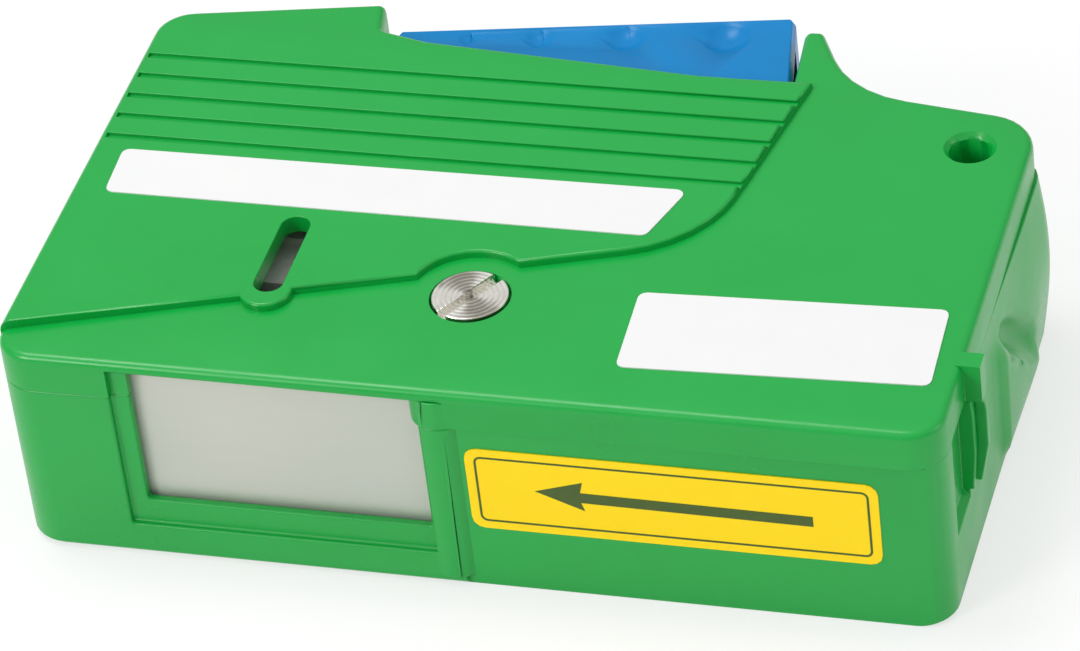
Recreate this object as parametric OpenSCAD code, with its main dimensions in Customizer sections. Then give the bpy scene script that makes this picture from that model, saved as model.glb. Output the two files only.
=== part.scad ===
// Hand-held reel cleaner for fibre optic connectors. A thumb lever presses a bar that
// turns the ratchet wheel of the take-up reel and, through a stepped gear, slides the
// shutter of the cleaning window open. Two moulded shells are held by one coin screw.
// X runs along the front edge, Y from the window to the lever, Z up from the base.

/* [Case] */
// Width of the case, left to right
body_w = 115; // [110:0.5:125]
// Depth of the case at the horn beside the lever
body_d = 76.2; // [73:0.2:84]
// Height of the raised zone over the base
body_h = 30.5; // [29:0.1:36]
// Height of the cover's side, from the seam up to the raised zone
cover_side_h = 6.2; // [5.6:0.1:7]
// Wall of both shells
wall = 2; // [1.8:0.1:2.2]
// Thickness of the floor
floor_t = 1.8; // [1.5:0.1:2]
// Thickness of the cover over the raised zone
roof_t = 2.3; // [2:0.1:2.6]
// Height of the step between the lower and the raised zone
zone_step = 1; // [0.6:0.1:1.2]
// Rounding of the cover's upper edge
rim_r = 1; // [0.6:0.1:1]
// Bevel round the base
base_bevel = 0.8; // [0.4:0.1:1]
// Corner radius at the near left
near_left_r = 5; // [3:0.5:8]
// Corner radius at the near right
near_right_r = 4.5; // [3:0.5:8]
// Corner radius at the far right, round the lanyard hole
far_right_r = 6.5; // [5.5:0.5:8]
// Corner radius at the far left
far_left_r = 5; // [3:0.5:8]
// Radius of the hollow curve behind the horn
horn_curve_r = 14; // [10:0.5:15]
// Radius of the horn's tip
horn_tip_r = 1; // [0.8:0.1:1.1]
// Radius of the shoulder beside the lever's pivot
shoulder_r = 1; // [0.5:0.1:1.5]
// Set back of the lower shell under the cover's lip, right of the ridge
lip_setback = 0.7; // [0.3:0.1:0.8]

/* [Cover relief] */
// Curve of the raised zone's edge at its near right
zone_r = 16; // [10:1:18]
// Radius of the scallop round the coin screw
scallop_r = 7.6; // [7:0.1:8.5]
// Distance between the grooves of the grip field
groove_pitch = 4.25; // [3.6:0.05:4.4]
// Width of a groove
groove_w = 0.9; // [0.6:0.1:1.4]
// Depth of a groove
groove_depth = 0.4; // [0.2:0.1:0.5]
// Number of grooves
groove_count = 5; // [3:1:5]
// Width of the sight slot over the tape
sight_w = 3.6; // [3:0.1:3.9]
// Length of the sight slot
sight_len = 14.7; // [12:0.1:15.5]

/* [Window] */
// Left end of the shallow recess round the window
recess_x = 14.5; // [13:0.5:16]
// Right end of the recess, at the ridge
recess_end_x = 53; // [52.6:0.1:53.4]
// Depth of the recess
recess_depth = 0.8; // [0.4:0.1:1]
// Lower edge of the recess over the base
recess_z = 4.8; // [4:0.1:6]
// Left edge of the opening
window_x = 16.8; // [16.2:0.1:18]
// Right edge of the opening
window_end_x = 52.4; // [51:0.1:52.5]
// Lower edge of the opening over the base
window_z = 8.2; // [7:0.1:10]
// Width of the rounded ridge beside the window
ridge_w = 3.2; // [2.4:0.1:3.6]
// How far the ridge stands out of the front
ridge_out = 0.4; // [0.2:0.1:0.6]

/* [Lever and bar] */
// Turn of the lever, in degrees
lever_turn = 11; // [9:0.5:11]
// Push travel of the bar
travel = 7; // [6.4:0.1:7]
// Wall of the lever
lever_wall = 2; // [1.6:0.1:2.2]
// Thickness of the lever's upper and lower webs
web_t = 1.2; // [1:0.1:1.4]
// Radius of the lever's hub
lever_hub_r = 2.9; // [2.7:0.1:3.1]
// Radius of the lever's pivot pin
pivot_r = 1.5; // [1.2:0.1:1.7]
// Thickness of the push bar
bar_t = 1.8; // [1.5:0.1:2]
// Width of the push bar
bar_w = 3.1; // [2.6:0.1:3.3]

/* [Tape reels] */
// Space left over the reel hubs for the cover's bosses
hub_under = 3.2; // [2.8:0.1:4.5]
// Radius of the full supply roll
supply_roll_r = 19.5; // [15:0.5:19.5]
// Radius of the take-up roll
takeup_roll_r = 13; // [11:0.5:13.5]
// Radius of the supply reel's hub
supply_hub_r = 12; // [10:0.5:13]
// Radius of the take-up reel's hub
takeup_hub_r = 9; // [7:0.5:10]
// Radius of the posts that both reels turn on
post_r = 3; // [2.5:0.1:3.4]
// Teeth of the ratchet wheel
ratchet_teeth = 15; // [15:1:15]
// Tip radius of the ratchet wheel
ratchet_r = 20.6; // [19.6:0.1:20.8]
// Depth of a ratchet tooth
ratchet_depth = 2; // [1.6:0.1:2]

/* [Shutter drive] */
// Module of the small teeth
gear_module = 0.6; // [0.6:0.1:0.6]
// Teeth of the pinion that meshes with the push bar
pinion_teeth = 8; // [8:1:8]
// Teeth of the gear that meshes with the shutter
gear_teeth = 39; // [37:1:39]
// Thickness of the shutter plate
shutter_t = 1.2; // [1:0.1:1.3]

/* [Fastening and lanyard] */
// Radius of the coin screw's head
screw_head_r = 4.65; // [4:0.05:4.8]
// Thickness of the head
screw_head_t = 2; // [1.6:0.1:2.2]
// Radius of the screw's shank
screw_r = 2; // [1.6:0.1:2.2]
// Width of the coin slot
coin_slot_w = 1.4; // [1:0.1:1.8]
// Radius of the lanyard hole
lanyard_r = 2.6; // [2:0.1:2.8]
// Radius of the rounded lip of the lanyard hole
lanyard_lip_r = 3.3; // [3:0.1:3.6]

/* [Hidden] */
fine = 64;
arc_step = 12;
coarse_step = 30;
small_r = 2;
least_share = 0.25;
over = 1;
seam = 0.02;
air = 0.3;
run_gap = 0.06;
label_t = 0.15;

// Heights, from the floor up
parting_z = body_h - cover_side_h;
cover_under = body_h - roof_t;
lower_top = body_h - zone_step;
low_z = floor_t + air;
in_floor = floor_t / 2;
gear_t = 1.7;
bar_z = low_z + gear_t + air;
bar_top = bar_z + bar_t;
wheel_gap = 0.5;
wheel_t = 2;
wheel_z = bar_top + wheel_gap;
flange_z = wheel_z + wheel_t;
flange_t = 1.5;
roll_z = flange_z + flange_t;
hub_over = 1.1;
tape_w = cover_under - hub_under - hub_over - roll_z;
roll_top = roll_z + tape_w;
hub_top = roll_top + hub_over;
post_top = cover_under - roof_t * 0.7;
lever_top = cover_under - air;
in_roof = cover_under + air;

// Outline of the case seen from above, shares of its width and depth
far_y_share = 0.803;
valley_shares = [0.788, 0.8465];
horn_shares = [0.7157, 0.7365];
notch_right_shares = [0.7243, 0.8465];
notch_left_shares = [0.2548, 0.903];
shoulder_shares = [0.2452, 0.976];
far_left_share = 0.9055;
function place(s) = [body_w * s[0], body_d * s[1]];
function corner(s, r) = [body_w * s[0], body_d * s[1], r];
case_corners = [
    [0, 0, near_left_r],
    [body_w, 0, near_right_r],
    corner([1, far_y_share], far_right_r),
    corner(valley_shares, horn_curve_r),
    corner([horn_shares[1], 1], horn_tip_r * 0.9),
    corner([horn_shares[0], 1], horn_tip_r),
    corner(notch_right_shares, shoulder_r * 0.4),
    corner(notch_left_shares, shoulder_r * 0.5),
    corner(shoulder_shares, shoulder_r),
    corner([0, far_left_share], far_left_r),
];
// The same outline without the horn, which is solid, for everything inside the walls
bay_corners = [for (i = [0:len(case_corners) - 1]) if (i != 4 && i != 5)
    i == 6 ? corner(notch_right_shares, 0) : case_corners[i]];

// The reel axes and the drive, one chain from the right wall and the far edge
takeup_in = 31;
takeup_back = 34.8;
takeup = [body_w - takeup_in, body_d - takeup_back];
supply_in = 28;
supply_back = 32.2;
supply = [supply_in, body_d - supply_back];
index_turn = 20;
pawl_tip_r = 0.7;
drive_x = travel / 2 / tan(index_turn / 2);
drive_y = travel / 2 + (pawl_tip_r + air) / cos(index_turn / 2);
drive_tip = takeup + [-drive_x, drive_y];
bar_off = 23.2;
bar_x = takeup[0] - bar_off;
pusher_reach = travel / 2 / sin(lever_turn / 2);
nose_r = 1.5;
pivot_back = 8;
pivot = [bar_x - pusher_reach * cos(lever_turn / 2), body_d - pivot_back];
nose = [bar_x, pivot[1] + travel / 2];
bar_far_y = nose[1] - nose_r - run_gap * 2;

// Stepped gear between the bar and the shutter
pinion_r = gear_module * pinion_teeth / 2;
gear_r = gear_module * gear_teeth / 2;
gear_turn = travel / pinion_r * 180 / PI;
shutter_travel = gear_turn * PI / 180 * gear_r;
tooth_share = 0.6;
root_share = 0.9;
shutter_y = wall + 0.2 * shutter_t;
shutter_back = shutter_y + shutter_t;
rack_line = shutter_back + gear_module * 1.9;
gear_off = 11.2;
gear_at = [bar_x + gear_off, rack_line + gear_r];
gear_post_r = 1.5;
bar_rack_x = gear_at[0] - pinion_r;

// Front guides of the tape
guide_in = 10.2;
guide_r = 1.5;
guide_y = 7.4;
guide_a = [guide_in, guide_y];
guide_b = [window_end_x + guide_r * 3, guide_y];
tape_t = 0.2;
tape_y = guide_y - guide_r - air / 2 - tape_t;
plate_y = shutter_back + air;
plate_t = 1.2;
plate_x = 12.5;
plate_z = 6;
plate_top = cover_under - air * 4;
slot_in = 4.5;
slot_gap = 2;
slot_margin = 1.5;
slot_h = (tape_w - slot_gap - slot_margin * 2) / 2;
foot_y = 9;
foot_depth = 3;
foot_w = 3.2;
pad_t = 2.5;
holder_t = 1.6;
pad_y = tape_y + tape_t + air / 2;
pad_in = 3;

// Coin screw, its bosses, ring and insert
screw_at_shares = [0.4757, 0.239];
screw_at = place(screw_at_shares);
seat_z = lower_top - screw_head_t + air;
cover_boss_r = 5.8;
boss_gap = 1;
cover_boss_z = parting_z + boss_gap;
cover_boss_h = cover_under - cover_boss_z;
ring_t = 0.8;
ring_r = 3.2;
boss_r = 4;
boss_top = parting_z - boss_gap;
insert_r = 2.7;
insert_len = 9.5;
screw_len = 12.3;
screw_end_z = parting_z - screw_len;
screw_fit = 0.3;

// Lanyard hole
lanyard_in = [7.4, 6.6];
lanyard_at = [body_w - lanyard_in[0], body_d * far_y_share - lanyard_in[1]];
lanyard_wall = 3;

// Details of the right wall
lug_y = 13.2;
lug_len = 2.6;
lug_out = 2.1;
fin_t = 1.1;
fin_out = 0.9;
fin_bottom = 11;
pocket_y = 6;
pocket_depth = 1;
grip_y = 34;
grip_len = 15;
grip_h_share = 0.658;
grip_h = parting_z * grip_h_share;
grip_out = 2.1;
swell_out = 1.1;

// Parts of the drive that are set by hand
stop_pivot_off = [21.5, -12];
stop_pivot = takeup + stop_pivot_off;
stop_face = 2;
stop_rest_r = ratchet_r - ratchet_depth + pawl_tip_r + 0.5;
pin_r = 0.8;
arm_r = 1.1;
drive_pivot_off = [0.6, 15];
drive_pivot = [bar_x + drive_pivot_off[0], takeup[1] + drive_pivot_off[1]];
spring_x_off = 5.4;
spring_x = bar_x - spring_x_off;
spring_r = 2.2;
wire_r = 0.3;
spring_turns = 8;
spring_len = 21;
spring_y1 = bar_far_y - spring_len;
spring_y0 = spring_y1 - spring_len;
spring_z = bar_z + bar_t / 2;
brake_boss_r = 9;
brake_boss_z = 5.6;
brake_wave = 1.2;
felt_t = 1.2;

// Plan of the lever: outer line, free end, and the web's inner line
lever_stand = 3.9;
notch_left_x = body_w * notch_left_shares[0];
notch_right_x = body_w * notch_right_shares[0];
lever_root = [notch_left_x + lever_stand * 0.28, body_d - lever_stand * 1.025];
lever_end = [notch_right_x - lever_stand * 0.2, body_d - lever_stand * 2.31];
lever_inner = [notch_right_x - lever_stand * 0.18, body_d - lever_stand * 4];
lever_heel = [pivot[0] + lever_hub_r * 0.88, pivot[1] - lever_hub_r * 0.965];
lever_corner = [notch_right_x - lever_stand * 0.87, body_d + lever_stand];
lever_corner_r = 1;
lever_corners = [
    [lever_heel[0], lever_heel[1], 0], [lever_inner[0], lever_inner[1], web_t],
    [lever_end[0], lever_end[1], 0], [lever_corner[0], lever_corner[1], lever_corner_r],
    [lever_root[0], lever_root[1], lever_corner_r], [lever_root[0] - wall * 0.3, lever_root[1] - wall, 0],
    [pivot[0] + wall, pivot[1] + lever_hub_r * 0.7, 0],
];

// Origin of the row: the middle of the extents, on the base
far_reach = inset_corner(lever_end, [lever_corner[0], lever_corner[1], 0], lever_root, lever_corner_r)[1]
    + lever_corner_r;
row_x = (body_w + lug_out) / 2;
row_y = (far_reach - ridge_out) / 2;

shell_green = [0.16, 0.62, 0.28];
lever_blue = [0, 0.45, 0.75];
steel_grey = [0.72, 0.74, 0.75];
tape_white = [0.94, 0.94, 0.92];
natural = [0.86, 0.85, 0.8];
dark_grey = [0.25, 0.26, 0.27];

// Rounded outlines: each corner is [x, y, radius], listed anticlockwise
function unit(v) = v / norm(v);
function flat(c) = [c[0], c[1]];
function cross2(a, b) = a[0] * b[1] - a[1] * b[0];
function first_r(c) = len(c) > 3 ? c[3] : c[2];
// A corner moved inwards by d; convex radii shrink and hollow ones grow
function inset_corner(a, b, c, d) =
    let (u = unit(flat(a) - flat(b)), v = unit(flat(c) - flat(b)))
    let (half = acos(max(-1, min(1, u * v))) / 2, convex = cross2(-u, v) > 0 ? 1 : -1)
    let (p = flat(b) + unit(u + v) * (convex * d / sin(half)))
    [p[0], p[1], b[2] == 0 ? 0 : b[2] - convex * d, b[2]];
function inset(cs, d) =
    let (n = len(cs))
    [for (i = [0:n - 1]) inset_corner(cs[(i + n - 1) % n], cs[i], cs[(i + 1) % n], d)];
function arc_points(a, b, c, r) =
    let (u = unit(flat(a) - flat(b)), v = unit(flat(c) - flat(b)))
    let (half = acos(max(-1, min(1, u * v))) / 2, m = flat(b) + unit(u + v) * (r / sin(half)))
    let (s = flat(b) + u * (r / tan(half)) - m, turn = 180 - 2 * half)
    let (side = cross2(-u, v) > 0 ? 1 : -1, n = max(2, ceil(turn / (first_r(b) < small_r ? coarse_step : arc_step))))
    [for (i = [0:n]) let (g = side * turn * i / n)
        m + [s[0] * cos(g) - s[1] * sin(g), s[0] * sin(g) + s[1] * cos(g)]];
// Corners that an inset has used up come back sharp, or as small arcs where keep is true
function outline(cs, keep = false) =
    let (n = len(cs))
    [for (i = [0:n - 1]) let (c = cs[i], least = first_r(c) * least_share) each c[2] > least || (keep && first_r(c) > 0)
        ? arc_points(cs[(i + n - 1) % n], c, cs[(i + 1) % n], max(c[2], least)) : [flat(c)]];

// A closed solid through outlines of equal point count; levels are [z, inset]
module loft(cs, levels) {
    rings = [for (l = levels) outline(inset(cs, l[1]), true)];
    n = len(rings[0]);
    k = len(levels);
    points = [for (j = [0:k - 1]) each [for (p = rings[j]) [p[0], p[1], levels[j][0]]]];
    sides = [for (j = [0:k - 2]) each [for (i = [0:n - 1])
        [j * n + i, (j + 1) * n + i, (j + 1) * n + (i + 1) % n, j * n + (i + 1) % n]]];
    bottom = [[for (i = [0:n - 1]) i]];
    top = [[for (i = [n - 1:-1:0]) (k - 1) * n + i]];
    polyhedron(points, concat(bottom, sides, top));
}

// The same between two level cuts, so that both end faces are plain
module trimmed_loft(cs, z0, z1, levels) {
    difference() {
        loft(cs, levels);
        box([-body_w, -body_w, z0 - body_w], [body_w * 2, body_w * 2, z0]);
        box([-body_w, -body_w, z1], [body_w * 2, body_w * 2, z1 + body_w]);
    }
}

module slab(cs, z0, z1) {
    translate([0, 0, z0])
        linear_extrude(z1 - z0) polygon(outline(cs));
}

module box(p, q) {
    translate(p) cube([q[0] - p[0], q[1] - p[1], q[2] - p[2]]);
}

module rod(at, r, z0, z1) {
    translate([at[0], at[1], z0]) cylinder(r = r, h = z1 - z0, $fn = fine);
}

// A flat link with round ends from p to q
module link(p, q, r, z0, z1) {
    rod(p, r, z0, z1);
    rod(q, r, z0, z1);
    translate([p[0], p[1], z0])
        rotate(atan2(q[1] - p[1], q[0] - p[0]))
            translate([0, -r, 0]) cube([norm(q - p), r * 2, z1 - z0]);
}

// Shares of a quarter round, for the bevelled rims
rim_shares = [[0, 0], [0.38, 0.08], [0.71, 0.29], [0.92, 0.62], [1.02, 1.1]];
function rim_levels(top, r, side) = [for (s = rim_shares) [top - r * (1 - s[0]), r * s[1] + side]];

// Everything between the shells and the lever stays out of this cut
notch_clear = 2.2;
notch_corners = [
    corner([notch_right_shares[0], notch_right_shares[1]], 0) + [0, -wall * 1.8, 0],
    corner([notch_right_shares[0], 1], 0) + [0, notch_clear * 2, 0],
    corner([shoulder_shares[0], 1], 0) + [notch_clear, notch_clear * 2, 0],
    corner([shoulder_shares[0], shoulder_shares[1]], 0) + [notch_clear, -wall * 1.6, 0],
    corner([shoulder_shares[0], shoulder_shares[1]], 0) + [-wall, -wall * 1.6, 0],
    corner([shoulder_shares[0], notch_left_shares[1]], 0) + [-wall, -wall * 1.8, 0],
];

module notch_cut(z0, z1) {
    slab(notch_corners, z0, z1);
}

// The window, cut through the front wall of whichever shell it meets
module window_cut() {
    box([recess_x, -over, recess_z], [recess_end_x, recess_depth, cover_under]);
    box([window_x, -over, window_z], [window_end_x, wall + over, cover_under]);
}

module ridge(z0, z1) {
    bend_r = (ridge_w * ridge_w / 4 + ridge_out * ridge_out) / (2 * ridge_out);
    intersection() {
        translate([recess_end_x + ridge_w / 2, bend_r - ridge_out, z0])
            cylinder(r = bend_r, h = z1 - z0, $fn = fine * 2);
        box([recess_end_x - ridge_w, -ridge_out * 2, z0], [recess_end_x + ridge_w * 2, wall, z1]);
    }
}

// Right of the ridge the lower shell's front lies back under the cover's lip
module lip_cut() {
    box([recess_end_x + ridge_w, -over, -over], [body_w + over, lip_setback, parting_z + over]);
}

module lower_case() {
    color(shell_green) difference() {
        union() {
            difference() {
                trimmed_loft(case_corners, 0, parting_z,
                    [[-base_bevel * 0.1, base_bevel * 1.1], [base_bevel, 0], [parting_z + over, 0]]);
                slab(inset(bay_corners, wall), floor_t, parting_z + over);
                lip_cut();
            }
            ridge(recess_z * 0.3, parting_z);
            rod(supply, post_r, in_floor, post_top);
            rod(supply, brake_boss_r, in_floor, brake_boss_z);
            rod(takeup, post_r, in_floor, post_top);
            rod(takeup, post_r * 1.5, in_floor, wheel_z - air);
            rod(gear_at, gear_post_r, in_floor, bar_top + air);
            rod(stop_pivot, arm_r * 2, in_floor, wheel_z - air);
            rod(screw_at, boss_r, in_floor, boss_top);
            rod(lanyard_at, lanyard_r + lanyard_wall, in_floor, parting_z);
            for (g = [guide_a, guide_b]) rod(g, guide_r * 1.4, in_floor, low_z + gear_t);
            plate_feet();
            bar_guides();
            spring_stop();
            stop_spring_post();
            right_wall_details();
        }
        notch_cut(floor_t, parting_z + over);
        window_cut();
        rod(lanyard_at, lanyard_r, -over, parting_z + over);
        rod(screw_at, insert_r, boss_top - insert_len, boss_top + over);
        rod(screw_at, screw_r + screw_fit, screw_end_z - air * 3, boss_top);
        rod(pivot, pivot_r, floor_t / 2, floor_t + over);
        for (g = [guide_a, guide_b]) rod(g, guide_r, floor_t / 2, low_z + gear_t + over);
        rod(stop_pivot, pin_r, floor_t, wheel_z + over);
        right_wall_pocket();
    }
}

// Seats of the face plate's two tabs
module plate_feet() {
    for (x = plate_tabs()) {
        box([x, foot_y, in_floor], [x + foot_w, foot_y + foot_depth, plate_z]);
    }
    for (x = [window_x + pad_in, window_end_x - pad_in * 2]) {
        box([x, pad_y + pad_t + holder_t, in_floor], [x + pad_in, pad_y + pad_t + holder_t * 3, plate_z]);
    }
}

function plate_tabs() = [plate_x + plate_t, window_end_x - foot_w * 0.8];

module bar_guides() {
    for (side = [-1, 1], y = [takeup[1] - travel * 1.6, takeup[1] - travel * 0.9]) {
        x = bar_x + side * (bar_w / 2 + air + gear_module);
        box([x - gear_module, y, in_floor], [x + gear_module, y + travel * 0.6, bar_top]);
    }
}

module spring_stop() {
    box([spring_x - spring_r, spring_y0 - wall, in_floor],
        [spring_x + spring_r, spring_y0, spring_z + spring_r]);
}

stop_post_off = [5.6, 9.5];
module stop_spring_post() {
    box([stop_pivot[0] + stop_post_off[0] - wall, stop_pivot[1] - stop_post_off[1], in_floor],
        [stop_pivot[0] + stop_post_off[0], stop_pivot[1] - stop_post_off[1] + wall * 1.5, wheel_z + wheel_t]);
}

// Two tapered fins under the cover's lug, and the finger scoop farther back
module right_wall_details() {
    for (k = [0, 1]) {
        fin(lug_y + k * fin_t * 1.6, fin_out + k * (lug_out - fin_out));
    }
    grip_pad();
}

module fin(y, out) {
    translate([body_w - wall / 2, y + fin_t, 0]) rotate([90, 0, 0]) linear_extrude(fin_t)
        polygon([
            [0, fin_bottom], [wall / 2 + out * 0.5, fin_bottom], [wall / 2 + out, fin_bottom * 1.5],
            [wall / 2 + out, parting_z * 0.9], [wall / 2 + out * 0.8, parting_z], [0, parting_z],
        ]);
}

module grip_pad() {
    difference() {
        translate([body_w - wall / 2, grip_y + grip_len, 0]) rotate([90, 0, 0])
            linear_extrude(grip_len) polygon([
                [0, base_bevel], [wall / 2 + grip_out * 0.6, base_bevel],
                [wall / 2 + grip_out, grip_h * 0.3], [wall / 2 + swell_out, grip_h * 0.8],
                [wall / 2, grip_h * 1.3], [0, grip_h * 1.3],
            ]);
        translate([body_w + grip_out * 2.2, grip_y + grip_len * 0.3, grip_h * 0.62])
            sphere(r = grip_out * 2, $fn = fine / 2);
    }
}

module right_wall_pocket() {
    translate([body_w - pocket_depth, lug_y, 0]) rotate([90, 0, 0])
        linear_extrude(lug_y - pocket_y) polygon([
            [0, fin_bottom], [pocket_depth * 2, fin_bottom * 0.8],
            [pocket_depth * 2, parting_z], [0, parting_z],
        ]);
}

// The lower zone of the cover, along the front, the right side and the horn
low_zone_shares = [
    [-0.05, 0.0364], [-0.05, -0.2], [1.1, -0.2], [1.1, 1.2], [0.714, 1.2],
    [0.714, 0.877], [0.748, 0.8556], [0.6965, 0.4121],
];
low_zone_corners = [for (i = [0:7]) corner(low_zone_shares[i], i == 7 ? zone_r : i == 6 ? shoulder_r : 0)];
sight_shares = [0.2626, 0.194];
sight_at = place(sight_shares);
bulge_r = 3.2;
bulge_share = 0.17;

module low_zone() {
    difference() {
        polygon(outline(low_zone_corners));
        translate(sight_at + [0, bulge_r * bulge_share]) circle(bulge_r, $fn = fine);
    }
    translate(screw_at) circle(scallop_r, $fn = fine);
}

module upper_cover() {
    color(shell_green) difference() {
        union() {
            cover_shell();
            ridge(parting_z, lower_top - rim_r * 1.4);
            rod(screw_at, cover_boss_r, cover_boss_z, in_roof);
            for (p = [supply, takeup]) rod(p, post_r * 1.6, hub_top + air, in_roof);
            rod(lanyard_at, lanyard_r + lanyard_wall, parting_z, in_roof);
            rod(pivot, lever_hub_r, lever_top + air / 2, in_roof);
            box([guide_b[0] + guide_r * 2, shutter_back + air, cover_boss_z],
                [gear_at[0] + gear_r, shutter_back + air + plate_t, in_roof]);
            cover_lug();
        }
        for (p = [supply, takeup]) rod(p, post_r + air, 0, post_top + air);
        rod(screw_at, screw_r + screw_fit, 0, body_h + over);
        rod(screw_at, screw_head_r + air, seat_z, body_h + over);
        rod(lanyard_at, lanyard_r, 0, body_h + over);
        translate([lanyard_at[0], lanyard_at[1], lower_top - (lanyard_lip_r - lanyard_r)])
            cylinder(r1 = lanyard_r, r2 = lanyard_lip_r, h = lanyard_lip_r - lanyard_r + run_gap, $fn = fine);
        rod(pivot, pivot_r, 0, cover_under + air);
        grooves();
        link(sight_at + [0, sight_w / 2], sight_at + [0, sight_len - sight_w / 2],
            sight_w / 2, 0, body_h + over);
    }
}

// The shell alone; a lip that reaches into the lower shell is left out along the front
tongue_t = 1.1;
tongue_h = 1.6;
module cover_shell() {
    lip_in = wall + air / 2 + tongue_t;
    difference() {
        union() {
            trimmed_loft(case_corners, parting_z, lower_top,
                concat([[parting_z - over, 0]], rim_levels(lower_top, rim_r, 0)));
            translate([0, 0, parting_z - tongue_h]) linear_extrude(tongue_h + over) intersection() {
                polygon(outline(inset(bay_corners, wall + air / 2)));
                difference() {
                    translate([0, guide_y]) square([body_w, body_d]);
                    translate(lanyard_at) circle(lanyard_r + lanyard_wall + air, $fn = fine);
                }
            }
        }
        linear_extrude(cover_under) union() {
            polygon(outline(inset(bay_corners, lip_in)));
            translate([lip_in, wall]) square([body_w - 2 * lip_in, guide_y]);
            polygon(outline(notch_corners));
            translate([recess_x, -over]) square([recess_end_x - recess_x, over + recess_depth]);
            translate([window_x, -over]) square([window_end_x - window_x, wall + over * 2]);
            translate(pivot) circle(lever_hub_r + air, $fn = fine);
        }
    }
    difference() {
        trimmed_loft(bay_corners, cover_under + air / 2, body_h,
            concat([[cover_under - over, seam]], rim_levels(body_h, rim_r * 1.1, seam)));
        translate([0, 0, cover_under]) linear_extrude(body_h) low_zone();
    }
}

groove_far_share = 0.782;
module grooves() {
    for (i = [0:groove_count - 1]) {
        y = body_d * groove_far_share - i * groove_pitch;
        box([near_left_r * 0.2, y - groove_w / 2, body_h - groove_depth],
            [body_w * low_zone_shares[6][0] + over, y + groove_w / 2, body_h + over]);
    }
}

module cover_lug() {
    box([body_w - wall, lug_y, parting_z], [body_w + lug_out, lug_y + lug_len, lower_top]);
}

end_depth = 5.4;

module lever() {
    color(lever_blue) difference() {
        union() {
            difference() {
                trimmed_loft(lever_corners, low_z, lever_top,
                    [[low_z - over, 0], [lever_top - web_t * 0.4, 0], [lever_top + web_t * 0.1, web_t * 0.5]]);
                translate([0, 0, low_z + web_t]) linear_extrude(lever_top - low_z - web_t * 2) union() {
                    polygon(outline(inset(lever_corners, lever_wall)));
                    lever_inner_clear();
                }
            }
            rod(pivot, lever_hub_r, low_z - air / 2, lever_top - air / 2);
            box([nose[0] - nose_r, nose[1], low_z + web_t / 2],
                [nose[0] + nose_r, nose[1] + nose_r * 2.4, flange_z]);
            rod(nose, nose_r, low_z + web_t / 2, flange_z);
        }
        rod(pivot, pivot_r + run_gap, 0, body_h);
        for (d = dips) dip(lever_root + [d[0], d[1]], d[2], d[3]);
    }
}

// Dips in the lever's top that grow towards its free end: from the root, radius, point ahead of it
dips = [[9.1, -1, 1.15, 1.5], [18.2, -0.1, 1.9, 2.75], [29.1, 1.2, 2.7, 4.1], [41.8, 2.6, 3.3, 5.15]];
dip_depth_share = 0.22;
dip_lean = 2;
// A drop: a shallow ball joined by a cone to a point on the left
module dip(at, r, ahead) {
    deep = r * dip_depth_share;
    ball_r = (r * r + deep * deep) / (2 * deep);
    lift = ball_r - deep;
    away = norm([ahead, lift]);
    half = asin(ball_r / away) - dip_lean;
    translate([at[0], at[1], lever_top + lift]) sphere(r = ball_r, $fn = fine);
    translate([at[0] - ahead, at[1], lever_top]) rotate([0, atan2(ahead, lift), 0])
        cylinder(r1 = 0, r2 = away * 0.3 * tan(half), h = away * 0.3, $fn = fine);
}

// Between the webs only the outer wall and a short end wall are left
module lever_inner_clear() {
    polygon([
        [lever_heel[0] - over * 4, 0], [body_w, 0],
        [body_w, lever_corner[1] - end_depth], [lever_corner[0] - lever_wall, lever_corner[1] - end_depth],
        [pivot[0] + lever_hub_r, pivot[1] + lever_hub_r * 0.3],
        [pivot[0] + lever_hub_r, pivot[1] - lever_hub_r * 0.5],
    ]);
}

module lever_pivot_pin() {
    color(steel_grey) rod(pivot, pivot_r, floor_t / 2, cover_under + air / 2);
}

module lever_return_spring() {
    color(steel_grey) coil();
}

// One unbroken wire of spring_turns curls between the case and the bar
rings_per_turn = 8;
module coil() {
    sides = 6;
    n = spring_turns * rings_per_turn;
    y0 = spring_y0 + wire_r + run_gap;
    pitch = (spring_y1 - spring_y0 - 2 * (wire_r + run_gap)) / spring_turns;
    r = spring_r - wire_r;
    echo(coil_gap = pitch - 2 * wire_r);
    points = [for (j = [0:n]) let (g = j * 360 / rings_per_turn) each
        [for (i = [0:sides - 1]) let (w = i * 360 / sides)
            [spring_x + (r + wire_r * cos(w)) * cos(g), y0 + pitch * j / rings_per_turn + wire_r * sin(w),
             spring_z + (r + wire_r * cos(w)) * sin(g)]]];
    faces = concat(
        [[for (i = [0:sides - 1]) i]],
        [for (j = [0:n - 1]) each [for (i = [0:sides - 1]) each [
            [j * sides + i, (j + 1) * sides + i, (j + 1) * sides + (i + 1) % sides],
            [j * sides + i, (j + 1) * sides + (i + 1) % sides, j * sides + (i + 1) % sides]]]],
        [[for (i = [sides - 1:-1:0]) n * sides + i]]);
    polyhedron(points, faces);
}

// Racks and gears with 25 degree flanks, thinned for running clearance
press_angle = 25;
thin = 0.1;
module rack_teeth(count, z0, z1) {
    pitch = PI * gear_module;
    add = gear_module * tooth_share;
    ded = gear_module * root_share;
    half = pitch / 4 - thin;
    for (i = [0:count - 1]) translate([i * pitch, 0, z0]) linear_extrude(z1 - z0)
        polygon([
            [-half - ded * tan(press_angle), -ded], [half + ded * tan(press_angle), -ded],
            [half - add * tan(press_angle), add], [-half + add * tan(press_angle), add],
        ]);
}

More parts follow.
